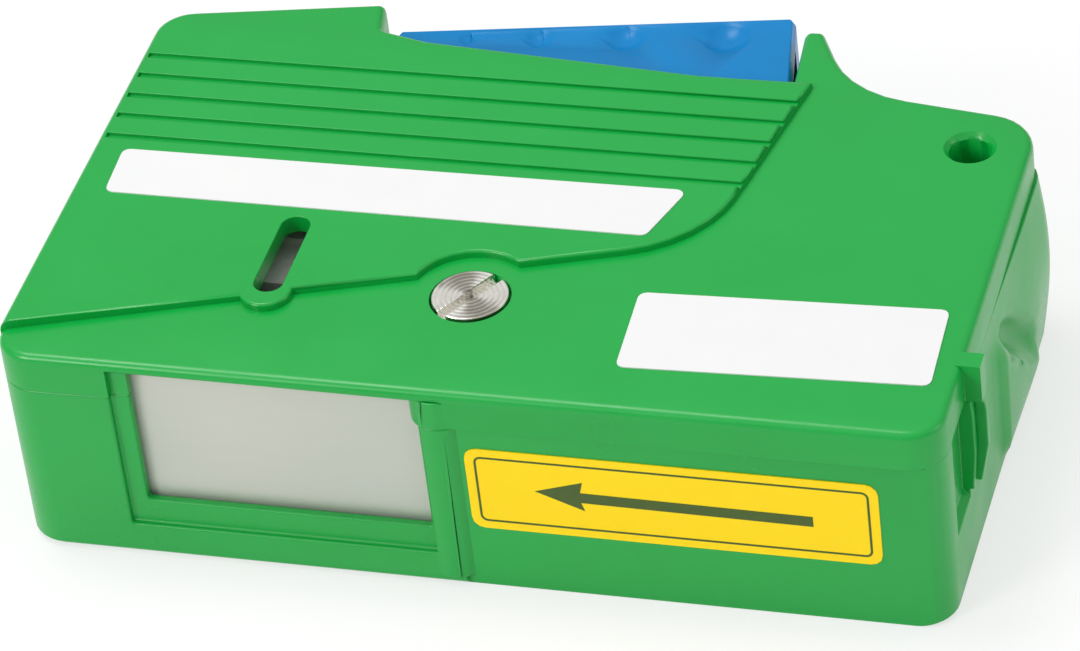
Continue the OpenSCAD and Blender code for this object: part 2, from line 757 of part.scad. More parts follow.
function inv(a) = tan(a) - a * PI / 180;
function tooth_half(r, pr, z) =
    let (br = pr * cos(press_angle))
    (90 / z - thin / pr * 180 / PI) + (inv(press_angle) - inv(acos(min(1, br / max(r, br))))) * 180 / PI;
module gear_outline(z) {
    pr = gear_module * z / 2;
    top_r = pr + gear_module * tooth_share;
    low_r = pr - gear_module * root_share;
    steps = [0, 1, 2, 3];
    polygon([for (i = [0:z - 1]) let (g = i * 360 / z) each concat(
        [low_r * [cos(g - 180 / z), sin(g - 180 / z)]],
        [low_r * [cos(g - tooth_half(low_r, pr, z)), sin(g - tooth_half(low_r, pr, z))]],
        [for (s = steps) let (r = low_r + (top_r - low_r) * (s + 1) / len(steps), h = tooth_half(r, pr, z))
            r * [cos(g - h), sin(g - h)]],
        [for (s = steps) let (r = top_r - (top_r - low_r) * s / len(steps), h = tooth_half(r, pr, z))
            r * [cos(g + h), sin(g + h)]],
        [low_r * [cos(g + tooth_half(low_r, pr, z)), sin(g + tooth_half(low_r, pr, z))]]
    )]);
}

module shutter_gear() {
    color(natural) difference() {
        translate([gear_at[0], gear_at[1], 0]) {
            translate([0, 0, low_z]) rotate(-90) linear_extrude(gear_t) gear_outline(gear_teeth);
            translate([0, 0, low_z]) rotate(180) linear_extrude(bar_top - low_z) gear_outline(pinion_teeth);
        }
        rod(gear_at, gear_post_r + run_gap, 0, body_h);
    }
}

// Bar: a stem, a cross head under the lever's nose, and a toothed foot
foot_back = gear_module * root_share;
foot_thick = 3.6;
jog_y = gear_at[1] + gear_module * 10.2;
jog_w = 4.6;
head_w = 7;
head_t = 2.4;
module push_bar() {
    rack_n = ceil(travel / (PI * gear_module)) + 4;
    first = gear_at[1] - PI * gear_module * 1.5;
    color(natural) difference() {
        union() {
            box([bar_x - bar_w / 2, jog_y, bar_z], [bar_x + bar_w / 2, bar_far_y, bar_top]);
            box([bar_x - head_w / 2, bar_far_y - head_t, bar_z], [bar_x + head_w / 2, bar_far_y, bar_top]);
            box([bar_x - bar_w / 2, jog_y, bar_z], [bar_rack_x - foot_back, jog_y + jog_w, bar_top]);
            box([bar_rack_x - foot_back - foot_thick, first - gear_module, bar_z],
                [bar_rack_x - foot_back, jog_y + jog_w, bar_top]);
            translate([bar_rack_x, first, 0]) rotate(-90) mirror([1, 0, 0]) rack_teeth(rack_n, bar_z, bar_top);
            spring_lug();
            rod(drive_pivot, pin_r * 2.2, bar_z, bar_top);
        }
        rod(drive_pivot, pin_r, 0, body_h);
    }
}

module spring_lug() {
    box([spring_x - spring_r, spring_y1, bar_z], [bar_x, spring_y1 + head_t, bar_top]);
    box([spring_x - spring_r, spring_y1, bar_z], [spring_x + spring_r, spring_y1 + head_t, wheel_z + wheel_t]);
}

shutter_x = 15;
shutter_end_x = 54;
module shutter() {
    pitch = PI * gear_module;
    rack_n = ceil(shutter_travel / pitch) + 3;
    last_x = gear_at[0] + pitch * 1.5;
    first_x = last_x - pitch * (rack_n - 1);
    color(steel_grey) union() {
        box([shutter_x, shutter_y, low_z], [shutter_end_x, shutter_back, lever_top - air * 2]);
        box([first_x - pitch, shutter_y, low_z],
            [last_x + pitch, rack_line - gear_module * root_share, low_z + gear_t]);
        translate([first_x, rack_line, 0]) rack_teeth(rack_n, low_z, low_z + gear_t);
    }
}

// Plate behind the shutter with a slot for each row of ferrules
module ferrule_face_plate() {
    color(dark_grey) difference() {
        union() {
            box([plate_x, plate_y, plate_z], [window_end_x + foot_w, plate_y + plate_t, plate_top]);
            for (x = plate_tabs()) {
                box([x, plate_y, plate_z], [x + foot_w, foot_y + foot_depth, plate_z + wall]);
            }
        }
        for (k = [0, 1]) {
            z = roll_z + slot_margin + k * (slot_h + slot_gap);
            box([window_x + slot_in, 0, z], [window_end_x - slot_in, guide_y, z + slot_h]);
        }
    }
}

module platen_pad() {
    color(dark_grey) box([window_x + pad_in, pad_y, roll_z], [window_end_x - pad_in, pad_y + pad_t, roll_top]);
}

module pad_holder() {
    y = pad_y + pad_t;
    color(natural) union() {
        box([window_x + pad_in, y, floor_t], [window_end_x - pad_in, y + holder_t, roll_top + wall]);
        for (z = [roll_top, roll_z - wall]) {
            box([window_x + pad_in, y - pad_t * 0.6, z], [window_end_x - pad_in, y, z + wall]);
        }
    }
}

module guide_pins() {
    color(steel_grey) for (g = [guide_a, guide_b]) rod(g, guide_r, floor_t / 2, hub_top);
}

// Reel cores: a flange under the roll and a hub with three spokes
module reel_core(at, hub_r, flange_r) {
    rim_t = 1.6;
    color(natural) difference() {
        union() {
            rod(at, flange_r, flange_z, roll_z);
            rod(at, hub_r, flange_z, hub_top);
        }
        difference() {
            rod(at, hub_r - rim_t, roll_z, hub_top + over);
            rod(at, post_r + rim_t, 0, body_h);
            for (k = [0:2]) translate([at[0], at[1], 0]) rotate(k * 120)
                box([0, -rim_t / 2, 0], [hub_r, rim_t / 2, hub_top - hub_over]);
        }
        rod(at, post_r + run_gap, 0, body_h);
    }
}

module supply_reel_core() {
    reel_core(supply, supply_hub_r, supply_roll_r + 1 * flange_over);
}

flange_over = 1;
module takeup_reel_core() {
    reel_core(takeup, takeup_hub_r, takeup_roll_r + 4 * flange_over);
}

module roll(at, r_in, r_out) {
    color(tape_white) difference() {
        rod(at, r_out, roll_z, roll_top);
        rod(at, r_in, 0, body_h);
    }
}

module supply_tape_roll() {
    roll(supply, supply_hub_r, supply_roll_r);
}

module takeup_tape_roll() {
    roll(takeup, takeup_hub_r, takeup_roll_r);
}

// Free run of the tape: tangents between the rolls and the guide pins
tape_gap = 0.1;
function tangent_angle(p, q, rp, rq) = atan2(q[1] - p[1], q[0] - p[0]) - asin((rq - rp) / norm(q - p));
function right_of(p, r, g) = p + r * [sin(g), -cos(g)];
function bend(p, r, g0, g1) =
    let (n = max(2, ceil((g1 - g0) / arc_step)))
    [for (i = [0:n]) right_of(p, r, g0 + (g1 - g0) * i / n)];
module cleaning_tape() {
    rs = supply_roll_r + tape_gap;
    rg = guide_r + tape_gap;
    rt = takeup_roll_r + tape_gap;
    g1 = tangent_angle(supply, guide_a, rs, rg);
    g3 = tangent_angle(guide_b, takeup, rg, rt);
    inner = concat([right_of(supply, rs, g1)], bend(guide_a, rg, g1, 0), bend(guide_b, rg, 0, g3),
        [right_of(takeup, rt, g3)]);
    outer = concat([right_of(supply, rs + tape_t, g1)], bend(guide_a, rg + tape_t, g1, 0),
        bend(guide_b, rg + tape_t, 0, g3), [right_of(takeup, rt + tape_t, g3)]);
    n = len(inner);
    color(tape_white) translate([0, 0, roll_z + tape_gap]) linear_extrude(tape_w - 2 * tape_gap)
        polygon(concat(outer, [for (i = [n - 1:-1:0]) inner[i]]));
}

// Ratchet wheel: steep faces trail, ramps lead
first_face = 180 - index_turn / 2;
module ratchet_wheel() {
    step = 360 / ratchet_teeth;
    ramp = 4;
    root_r = ratchet_r - ratchet_depth;
    color(natural) difference() {
        translate([takeup[0], takeup[1], wheel_z]) linear_extrude(wheel_t) polygon([
            for (i = [0:ratchet_teeth - 1]) each [for (j = [0:ramp])
                let (g = first_face + step * (i + j / ramp), r = ratchet_r - ratchet_depth * j / ramp)
                r * [cos(g), sin(g)]],
        ]);
        rod(takeup, post_r + run_gap, 0, body_h);
    }
}

pawl_t = wheel_t - air;
module drive_pawl() {
    color(steel_grey) difference() {
        union() {
            rod(drive_pivot, pin_r * 2.2, wheel_z, wheel_z + pawl_t);
            link(drive_pivot, drive_tip + [-pawl_tip_r * 2, pawl_tip_r * 4], pawl_tip_r, wheel_z, wheel_z + pawl_t);
            link(drive_tip + [-pawl_tip_r * 2, pawl_tip_r * 4], drive_tip, pawl_tip_r, wheel_z, wheel_z + pawl_t);
        }
        rod(drive_pivot, pin_r + run_gap, 0, body_h);
    }
}

module drive_pawl_pin() {
    color(steel_grey) union() {
        rod(drive_pivot, pin_r, bar_z, wheel_z + pawl_t + air);
        rod(drive_pivot, pin_r * 1.8, wheel_z + pawl_t + air / 2, wheel_z + pawl_t + air * 2);
    }
}

leaf_t = 0.3;
// A leaf from the bar's stem that leans on the pawl's back
module drive_pawl_spring() {
    x = bar_x - bar_w / 2;
    y = drive_tip[1] + pawl_tip_r * 4;
    color(steel_grey) union() {
        box([x, y - wall, bar_top], [x + leaf_t, y + wall, wheel_z + pawl_t]);
        box([x, y - leaf_t, wheel_z + air], [drive_tip[0] - pawl_tip_r * 3 - air, y, wheel_z + pawl_t]);
    }
}

stop_angle = stop_face - asin((pawl_tip_r + air * 0.8) / stop_rest_r);
stop_tip = takeup + stop_rest_r * [cos(stop_angle), sin(stop_angle)];
stop_elbow_off = [3.2, -0.3];
module stop_pawl() {
    elbow = stop_tip + stop_elbow_off;
    color(steel_grey) difference() {
        union() {
            rod(stop_pivot, pin_r * 2.2, wheel_z, wheel_z + pawl_t);
            link(stop_pivot, elbow, arm_r * 0.9, wheel_z, wheel_z + pawl_t);
            link(elbow, stop_tip, pawl_tip_r, wheel_z, wheel_z + pawl_t);
            link(stop_pivot, stop_pivot - [0, stop_post_off[1] * 0.5], pawl_tip_r, wheel_z, wheel_z + pawl_t);
        }
        rod(stop_pivot, pin_r + run_gap, 0, body_h);
    }
}

module stop_pawl_spring() {
    x = stop_pivot[0] + stop_post_off[0] - wall;
    y = stop_pivot[1] - stop_post_off[1];
    color(steel_grey) union() {
        box([x - leaf_t, y, wheel_z + air], [x, y + wall * 1.5, wheel_z + pawl_t]);
        box([stop_pivot[0] + pawl_tip_r * 2, y + wall * 1.5, wheel_z + air],
            [x, y + wall * 1.5 + leaf_t, wheel_z + pawl_t]);
    }
}

module stop_pawl_pin() {
    color(steel_grey) rod(stop_pivot, pin_r, floor_t, wheel_z + pawl_t + air * 2);
}

module brake_washer() {
    color(dark_grey) difference() {
        rod(supply, brake_boss_r, flange_z - felt_t - run_gap, flange_z - run_gap);
        rod(supply, post_r + air, 0, body_h);
    }
}

// Wave washer that presses the felt on the reel
module brake_spring() {
    n = 48;
    r0 = post_r + air * 2;
    r1 = brake_boss_r * 0.7;
    z0 = brake_boss_z;
    rise = flange_z - felt_t - run_gap - brake_boss_z - leaf_t;
    height = [for (i = [0:n - 1]) z0 + rise / 2 * (1 - cos(i * 360 * 3 / n))];
    points = [for (i = [0:n - 1]) let (g = i * 360 / n) each [
        [supply[0] + r0 * cos(g), supply[1] + r0 * sin(g), height[i]],
        [supply[0] + r1 * cos(g), supply[1] + r1 * sin(g), height[i]],
        [supply[0] + r1 * cos(g), supply[1] + r1 * sin(g), height[i] + leaf_t],
        [supply[0] + r0 * cos(g), supply[1] + r0 * sin(g), height[i] + leaf_t]]];
    faces = [for (i = [0:n - 1]) each [for (k = [0:3]) let (a = 4 * i, b = 4 * ((i + 1) % n), m = (k + 1) % 4) each
        [[a + k, a + m, b + m], [a + k, b + m, b + k]]]];
    color(steel_grey) polyhedron(points, faces);
}

coin_slot_turn = -38;
coin_slot_depth = 1.1;
module coin_screw() {
    color(steel_grey) difference() {
        union() {
            rod(screw_at, screw_head_r, seat_z, seat_z + screw_head_t);
            rod(screw_at, screw_r, screw_end_z, seat_z + run_gap);
        }
        translate([screw_at[0], screw_at[1], seat_z + screw_head_t - coin_slot_depth]) rotate(coin_slot_turn)
            translate([-screw_head_r, -coin_slot_w / 2, 0])
                cube([screw_head_r * 2, coin_slot_w, coin_slot_depth + over]);
    }
}

module screw_retaining_ring() {
    color(dark_grey) difference() {
        rod(screw_at, ring_r, cover_boss_z - ring_t - air / 2, cover_boss_z - air / 2);
        rod(screw_at, screw_r, 0, body_h);
    }
}

module threaded_insert() {
    color([0.78, 0.63, 0.3]) difference() {
        rod(screw_at, insert_r, boss_top - insert_len, boss_top);
        rod(screw_at, screw_r + run_gap, 0, body_h);
    }
}

label_r = 1;
title_shares = [[0.0365, 0.5236], [0.6609, 0.5302], [0.6348, 0.4081], [0.04, 0.4094]];
module title_label() {
    s = title_shares;
    color(tape_white) slab([for (i = [3, 2, 1, 0]) corner(s[i], label_r)], body_h, body_h + label_t);
}

info_size = [37, 14];
info_turn = 2.3;
info_shares = [0.812, 0.2008];
module info_label() {
    w = info_size[0] / 2;
    h = info_size[1] / 2;
    at = place(info_shares);
    color(tape_white) translate([at[0], at[1], 0]) rotate(info_turn)
        slab([[-w, -h, label_r], [w, -h, label_r], [w, h, label_r], [-w, h, label_r]],
            lower_top, lower_top + label_t);
}

arrow_len = 49.5;
arrow_gap = 1.5;
arrow_z = 9.1;
arrow_under = 3.2;
arrow_r = 1.5;
module arrow_label() {
    x = recess_end_x + ridge_w + arrow_gap;
    w = arrow_len;
    h = parting_z - arrow_under - arrow_z;
    color([0.93, 0.83, 0.2]) translate([x, lip_setback, arrow_z]) rotate([90, 0, 0])
        slab([[0, 0, arrow_r], [w, 0, arrow_r], [w, h, arrow_r], [0, h, arrow_r]], 0, label_t);
}

translate([-row_x, -row_y, 0]) {
    lower_case();
    upper_cover();
    lever();
    lever_pivot_pin();
    lever_return_spring();
    push_bar();
    shutter_gear();
    shutter();
    ferrule_face_plate();
    platen_pad();
    pad_holder();
    guide_pins();
    supply_reel_core();
    supply_tape_roll();
    takeup_reel_core();
    takeup_tape_roll();
    cleaning_tape();
    ratchet_wheel();
    drive_pawl();
    drive_pawl_pin();
    drive_pawl_spring();
    stop_pawl();
    stop_pawl_spring();
    stop_pawl_pin();
    brake_washer();
    brake_spring();
    coin_screw();
    screw_retaining_ring();
    threaded_insert();
    title_label();
    info_label();
    arrow_label();
}
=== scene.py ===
import math

import bmesh
import bpy
from mathutils import Matrix, Vector


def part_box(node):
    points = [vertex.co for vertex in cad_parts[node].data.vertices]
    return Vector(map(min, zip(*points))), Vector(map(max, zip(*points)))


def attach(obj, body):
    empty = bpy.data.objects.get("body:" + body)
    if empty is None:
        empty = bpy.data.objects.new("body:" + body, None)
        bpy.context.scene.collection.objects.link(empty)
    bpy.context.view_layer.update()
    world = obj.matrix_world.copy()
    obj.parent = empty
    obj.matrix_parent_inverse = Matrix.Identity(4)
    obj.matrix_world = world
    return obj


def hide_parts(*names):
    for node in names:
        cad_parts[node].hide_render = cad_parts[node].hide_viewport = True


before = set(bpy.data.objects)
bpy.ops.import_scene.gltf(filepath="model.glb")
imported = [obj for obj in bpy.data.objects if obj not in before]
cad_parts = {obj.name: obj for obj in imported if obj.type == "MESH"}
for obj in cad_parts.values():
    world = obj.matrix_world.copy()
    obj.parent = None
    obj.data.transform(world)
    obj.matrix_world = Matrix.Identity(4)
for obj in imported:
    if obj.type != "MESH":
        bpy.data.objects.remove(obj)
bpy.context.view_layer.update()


# Camera
# A long lens far in front of the cassette, right of its middle and well above it,
# placed and turned by the edges of the case in the photograph.
view_right = Vector((0.9615908, 0.2555478, -0.1001924))
view_forward = Vector((-0.2617547, 0.7438329, -0.6149773))
view_from = Vector((0.176343, -0.510238, 0.430029))
sensor_width = 36.0
focal_share = 5.14335
optics = bpy.data.cameras.new("camera")
optics.sensor_width = sensor_width
optics.lens = sensor_width * focal_share
camera = bpy.data.objects.new("camera", optics)
view_axes = Matrix((view_right, view_right.cross(view_forward), -view_forward)).transposed()
camera.matrix_world = Matrix.Translation(view_from) @ view_axes.to_4x4()
bpy.context.scene.collection.objects.link(camera)
bpy.context.scene.camera = camera
bpy.context.scene.view_settings.view_transform = "Standard"


# Floor and light
# A white table top under a pale studio sky, with one lamp overhead towards the back, one at
# the left front and a weak one low on the right. The floor keeps a third of its shade.
def tint(red, green, blue):
    """A colour as the eye reads it, 0 to 255, in the linear values that Blender wants."""
    shares = [c / 255 for c in (red, green, blue)]
    linear = [((s + 0.055) / 1.055) ** 2.4 if s > 0.04045 else s / 12.92 for s in shares]
    return (*linear, 1)


class Wire:
    """A node's output that adds Math nodes when it is reckoned with."""

    def __init__(self, wiring, socket):
        self.wiring = wiring
        self.socket = socket

    def __add__(self, other):
        return self.wiring.math("ADD", self, other)

    def __sub__(self, other):
        return self.wiring.math("SUBTRACT", self, other)

    def __rsub__(self, other):
        return self.wiring.math("SUBTRACT", other, self)

    def __mul__(self, other):
        return self.wiring.math("MULTIPLY", self, other)

    __radd__ = __add__
    __rmul__ = __mul__


class Wiring:
    """The nodes of a material or of the sky, with the one call that adds another."""

    def __init__(self, tree):
        self.tree = tree

    def give(self, node, inputs):
        for key, value in inputs.items():
            if isinstance(value, Wire):
                self.tree.links.new(value.socket, node.inputs[key])
            else:
                node.inputs[key].default_value = value

    def node(self, kind, settings, inputs, out=0):
        made = self.tree.nodes.new(kind)
        for key, value in settings.items():
            setattr(made, key, value)
        self.give(made, inputs)
        return Wire(self, made.outputs[out])

    def math(self, operation, first, second=0.0):
        return self.node("ShaderNodeMath", {"operation": operation}, {0: first, 1: second})

    def vector(self, operation, first, second, out=0):
        return self.node("ShaderNodeVectorMath", {"operation": operation},
                         {0: first, 1: second}, out=out)

    def seen_or_mirrored(self):
        """1 for what the camera sees, straight or in or through a gloss, and 0 for plain light."""
        camera_ray, glossy_ray, clear_ray = [
            self.node("ShaderNodeLightPath", {}, {}, out=f"Is {ray} Ray")
            for ray in ("Camera", "Glossy", "Transmission")]
        return self.math("MAXIMUM", self.math("MAXIMUM", camera_ray, glossy_ray), clear_ray)


table_half = 1.5
table = bmesh.new()
bmesh.ops.create_grid(table, x_segments=1, y_segments=1, size=table_half)
table_mesh = bpy.data.meshes.new("table_top")
table.to_mesh(table_mesh)
table.free()
table_top = bpy.data.objects.new("table_top", table_mesh)
bpy.context.scene.collection.objects.link(table_top)

table_white = tint(246, 246, 246)
pure_white = (1, 1, 1, 1)
glow_share = 0.66
table_paint = bpy.data.materials.new("white_table")
table_paint.use_nodes = True
paint = Wiring(table_paint.node_tree)
paint_shader = paint.tree.nodes["Principled BSDF"]
paint.give(paint_shader, {"Base Color": table_white, "Roughness": 0.7, "Specular IOR Level": 0.1})
plain_paint = Wire(paint, paint_shader.outputs["BSDF"])
glow = paint.node("ShaderNodeEmission", {}, {"Color": pure_white, "Strength": 1.0})
half_glow = paint.node("ShaderNodeMixShader", {}, {0: glow_share, 1: plain_paint, 2: glow})
shown_paint = paint.node("ShaderNodeMixShader", {},
                         {0: paint.seen_or_mirrored(), 1: plain_paint, 2: half_glow})
paint.give(paint.tree.nodes["Material Output"], {"Surface": shown_paint})
table_mesh.materials.append(table_paint)

sky_at_floor, sky_overhead = 0.22, 0.95
sky = bpy.data.worlds.new("studio_sky")
sky.use_nodes = True
bpy.context.scene.world = sky
air = Wiring(sky.node_tree)
look_way = air.node("ShaderNodeTexCoord", {}, {}, out="Generated")
upward = air.node("ShaderNodeSeparateXYZ", {}, {0: look_way}, out="Z")
sky_level = air.node("ShaderNodeMapRange", {},
                     {"Value": upward, "To Min": sky_at_floor, "To Max": sky_overhead})
air.give(air.tree.nodes["Background"], {"Color": pure_white, "Strength": sky_level})

lamp_size = 0.5


def lamp(name, place, aim, power):
    """A round soft lamp, turned from its place to what it lights."""
    light = bpy.data.lights.new(name, "AREA")
    light.shape = "DISK"
    light.size = lamp_size
    light.energy = power
    holder = bpy.data.objects.new(name, light)
    turn = (Vector(aim) - Vector(place)).to_track_quat("-Z", "Y")
    holder.matrix_world = Matrix.Translation(place) @ turn.to_matrix().to_4x4()
    bpy.context.scene.collection.objects.link(holder)


lamp("overhead_lamp", (-0.35, 0.1, 1.1), (0, 0, 0), 4.2)
lamp("front_lamp", (-0.75, -1.0, 0.75), (0, 0, 0.01), 7.0)
lamp("right_lamp", (1.2, 0.15, 0.4), (0, 0, 0.01), 1.6)


# Lower case
# The lower half of the shell, moulded in green ABS with a fine spark-eroded grain. It holds
# the works and the window, and its right wall swells out round a leaf-shaped thumb hollow.
class Surface(Wiring):
    """A piece's material: its Principled shader, and the patterns that are used on it."""

    def __init__(self, name, **fixed):
        self.material = bpy.data.materials.new(name)
        self.material.use_nodes = True
        super().__init__(self.material.node_tree)
        self.shader = self.tree.nodes["Principled BSDF"]
        self.set(**fixed)

    def set(self, **inputs):
        self.give(self.shader, {key.replace("_", " "): value for key, value in inputs.items()})

    def here(self):
        return self.node("ShaderNodeTexCoord", {}, {}, out="Object")

    def noise(self, size, detail=2.0, stretch=(1, 1, 1)):
        scaled = self.node("ShaderNodeMapping", {}, {"Vector": self.here(), "Scale": stretch})
        return self.node("ShaderNodeTexNoise", {},
                         {"Vector": scaled, "Scale": 1 / size, "Detail": detail})

    def blend(self, share, first, second):
        return self.node("ShaderNodeMix", {"data_type": "RGBA"},
                         {0: share, 6: first, 7: second}, out=2)

    def clouded(self, size, first, second, detail=2.0):
        """Lets the colour drift between two shades over clouds of one size."""
        cloud = self.noise(size, detail)
        self.set(Base_Color=self.blend(cloud, first, second))
        return cloud

    def eased(self, wire, low, high, start=0.0, end=1.0):
        limits = {"Value": wire, "From Min": low, "From Max": high, "To Min": start, "To Max": end}
        return self.node("ShaderNodeMapRange", {"interpolation_type": "SMOOTHSTEP"}, limits)

    def relief(self, height, depth, strength=0.5):
        self.set(Normal=self.node("ShaderNodeBump", {},
                                  {"Height": height, "Distance": depth, "Strength": strength}))


green, green_lit = tint(2, 158, 58), tint(6, 166, 66)
mottle_size, wave_size, grain_size = 0.012, 0.0032, 0.00045
noise_low, noise_high = 0.3, 0.7
moulded_gloss, moulded_dull = 0.27, 0.36
green_relief = 0.00005
green_shell = Surface("green_shell", Specular_IOR_Level=0.5)
mottle = green_shell.clouded(mottle_size, green, green_lit, 3.0)
green_shell.set(Roughness=green_shell.eased(mottle, noise_low, noise_high,
                                            moulded_gloss, moulded_dull))
spark_grain = green_shell.noise(grain_size)
mould_waves = green_shell.noise(wave_size)
green_shell.relief(spark_grain * 0.12 + mould_waves, green_relief, 0.45)

flat_bend = math.radians(0.6)
sharp_bend = math.radians(42)
narrow_face_share = 0.42


def copied(node):
    """The merged mesh of a moulded node, ready for its edges to be rounded."""
    shape = bmesh.new()
    shape.from_mesh(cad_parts[node].data)
    bmesh.ops.remove_doubles(shape, verts=shape.verts, dist=2e-7)
    bmesh.ops.dissolve_degenerate(shape, edges=shape.edges, dist=1e-7)
    bmesh.ops.dissolve_limit(shape, angle_limit=flat_bend, verts=shape.verts, edges=shape.edges)
    return shape


def corner_edges(shape):
    """The edges where two faces meet at more than a slight bend, each with its middle."""
    bent = [e for e in shape.edges if len(e.link_faces) == 2 and e.calc_face_angle(0) > sharp_bend]
    return [(e, (e.verts[0].co + e.verts[1].co) / 2) for e in bent]


def skin_of(node, name, body, finish, shape, softness, widest):
    """A piece that stands for a moulded node. Its edges are rounded by the share of the widest
    rounding that softness gives, and by less beside a face too narrow for it."""
    weight = shape.edges.layers.float.new("bevel_weight_edge")
    for edge, middle in corner_edges(shape):
        narrowest = min(f.calc_area() for f in edge.link_faces) / edge.calc_length()
        edge[weight] = min(softness(edge, middle), narrowest * narrow_face_share / widest)
    mesh = bpy.data.meshes.new(name)
    shape.to_mesh(mesh)
    shape.free()
    if "custom_normal" in mesh.attributes:
        mesh.attributes.remove(mesh.attributes["custom_normal"])
    mesh.polygons.foreach_set("use_smooth", [True] * len(mesh.polygons))
    mesh.set_sharp_from_angle(angle=sharp_bend)
    mesh.materials.clear()
    mesh.materials.append(finish.material)
    piece = bpy.data.objects.new(name, mesh)
    bpy.context.scene.collection.objects.link(piece)
    rounded = piece.modifiers.new("rounded_edges", "BEVEL")
    rounded.width = widest
    rounded.segments = 3
    rounded.limit_method = "WEIGHT"
    rounded.harden_normals = True
    rounded.use_clamp_overlap = False
    rounded.miter_outer = "MITER_ARC"
    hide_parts(node)
    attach(piece, body)


def ease(value, start, end):
    """0 before start, 1 after end, and a smooth rise between them."""
    share = min(1, max(0, (value - start) / (end - start)))
    return share * share * (3 - 2 * share)


mm = 0.001
corner_at = Vector((-0.05855, -0.0397807, 0))
case_wide = 0.115
shell_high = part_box("lower_case")[1]
seam_z = shell_high.z
seam_mm = seam_z / mm
wall_t = 0.0023
side_t = 0.0045
front_setback = 0.0007
front_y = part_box("arrow_label")[1].y - front_setback
near_base = 0.0012
inner_floor = 0.0015
corner_x = 0.045
window_low, window_high = 0.004, seam_z - 0.0005
shortest = 0.0002
edge_soft = 0.0006


def case_softness(edge, middle):
    """Lower case: the window's frame is the softest, and the works inside stay as they are."""
    in_front = middle.y < front_y + wall_t
    behind_front = middle.y > front_y + wall_t
    inside = behind_front and abs(middle.x) < shell_high.x - side_t and middle.z > inner_floor
    set_back = in_front and middle.x > 0 and (middle.z < near_base or abs(middle.x) > corner_x)
    if inside or set_back or edge.calc_length() < shortest:
        return 0
    return 0.6 if in_front and window_low < middle.z < window_high else 0.3


swell_out = 1.3
swell_from, swell_to = 26, 50
hollow_y, hollow_z = 39.5, 12.9
hollow_half_y, hollow_half_z = 7.8, 3.6
hollow_lean = 0.8
hollow_deep = 2.2
hollow_crispness = 0.8
lobe_out = 0.9
lobe_near, lobe_far = (29.4, 31), (46, 53)
lobe_foot, lobe_brow = (0.8, 3.5), (-3.5, 0.5)


def wall_swell(y, z):
    """How far the right wall stands out, all in millimetres from the case's left front corner:
    a long swelling, the leaf-shaped hollow in it, and a low lobe under the hollow."""
    rise = min(1, max(0, (seam_mm - z) / seam_mm))
    flank = ease(y, swell_from, swell_to) * math.sin(math.pi * rise)
    aside = z - (hollow_z - hollow_lean * (y - hollow_y))
    leaf = 1 - ((y - hollow_y) / hollow_half_y) ** 2 - (aside / hollow_half_z) ** 2
    hollow = max(0, leaf) ** hollow_crispness
    lobe = ease(y, *lobe_near) * (1 - ease(y, *lobe_far))
    lobe *= ease(z, *lobe_foot) * (1 - ease(aside, *lobe_brow))
    return swell_out * flank - hollow_deep * hollow + lobe_out * lobe


wall_x = corner_at.x + case_wide
pad_from = corner_at.y + 0.0265
flank_x = 0.0548
pulled_from, pulled_to = 0.055, 0.0563
base_kept = 0.0004
cell_y, rows_y = 0.001, range(27, 62)
cell_z, rows_z = 0.00095, range(1, 26)
case_copy = copied("lower_case")
for vert in case_copy.verts:
    if vert.co.x > wall_x and vert.co.y > pad_from:
        vert.co.x = wall_x
bmesh.ops.dissolve_degenerate(case_copy, edges=case_copy.edges, dist=1e-6)
bmesh.ops.dissolve_limit(case_copy, angle_limit=flat_bend, verts=case_copy.verts,
                         edges=case_copy.edges)
cuts = [((0, corner_at.y + k * cell_y, 0), (0, 1, 0)) for k in rows_y]
cuts += [((0, 0, k * cell_z), (0, 0, 1)) for k in rows_z]
for point, across in cuts:
    flank_faces = [f for f in case_copy.faces
                   if f.normal.x > 0.3 and f.calc_center_median().x > flank_x
                   and max(v.co.y for v in f.verts) > pad_from]
    touched = dict.fromkeys(flank_faces)
    touched.update(dict.fromkeys(e for f in flank_faces for e in f.edges))
    touched.update(dict.fromkeys(v for f in flank_faces for v in f.verts))
    bmesh.ops.bisect_plane(case_copy, geom=list(touched), dist=1e-7, plane_co=point,
                           plane_no=across)
for vert in case_copy.verts:
    if vert.co.x > pulled_from and vert.co.y > pad_from and vert.co.z > base_kept:
        out = wall_swell((vert.co.y - corner_at.y) / mm, vert.co.z / mm)
        vert.co.x += out * mm * ease(vert.co.x, pulled_from, pulled_to)
case_copy.normal_update()
# The pad's far end folds up when it is pressed flat, which leaves two faces back to back.
folded = [f for f in case_copy.faces
          if abs(f.normal.y) > 0.9 and min(v.co.x for v in f.verts) > wall_x]
bmesh.ops.delete(case_copy, geom=folded, context="FACES")
skin_of("lower_case", "case_shell", "case", green_shell, case_copy,
        case_softness, edge_soft)


# Upper cover
# The other half, of the same green ABS. It carries the raised zone with its grooves, the
# sight slot and the horn, and its edge over the lever is drawn in a little.
roof_low = 0.0282
rim_z, top_z = 0.0295, 0.0305
close = 0.0001
at_hand = 0.0003
rim_t = 0.0035
slot_at = corner_at + Vector((0.0302, 0.0222, 0))
slot_half_x, slot_half_y = 0.0024, 0.0085
horn_root = corner_at + Vector((0.0833, 0.0642, rim_z))
notch_left, notch_right, notch_y = -0.0292, 0.0246, 0.0228
notch_sag = 0.0011
notch_cuts = 8
left_fade, right_fade = 9, 5


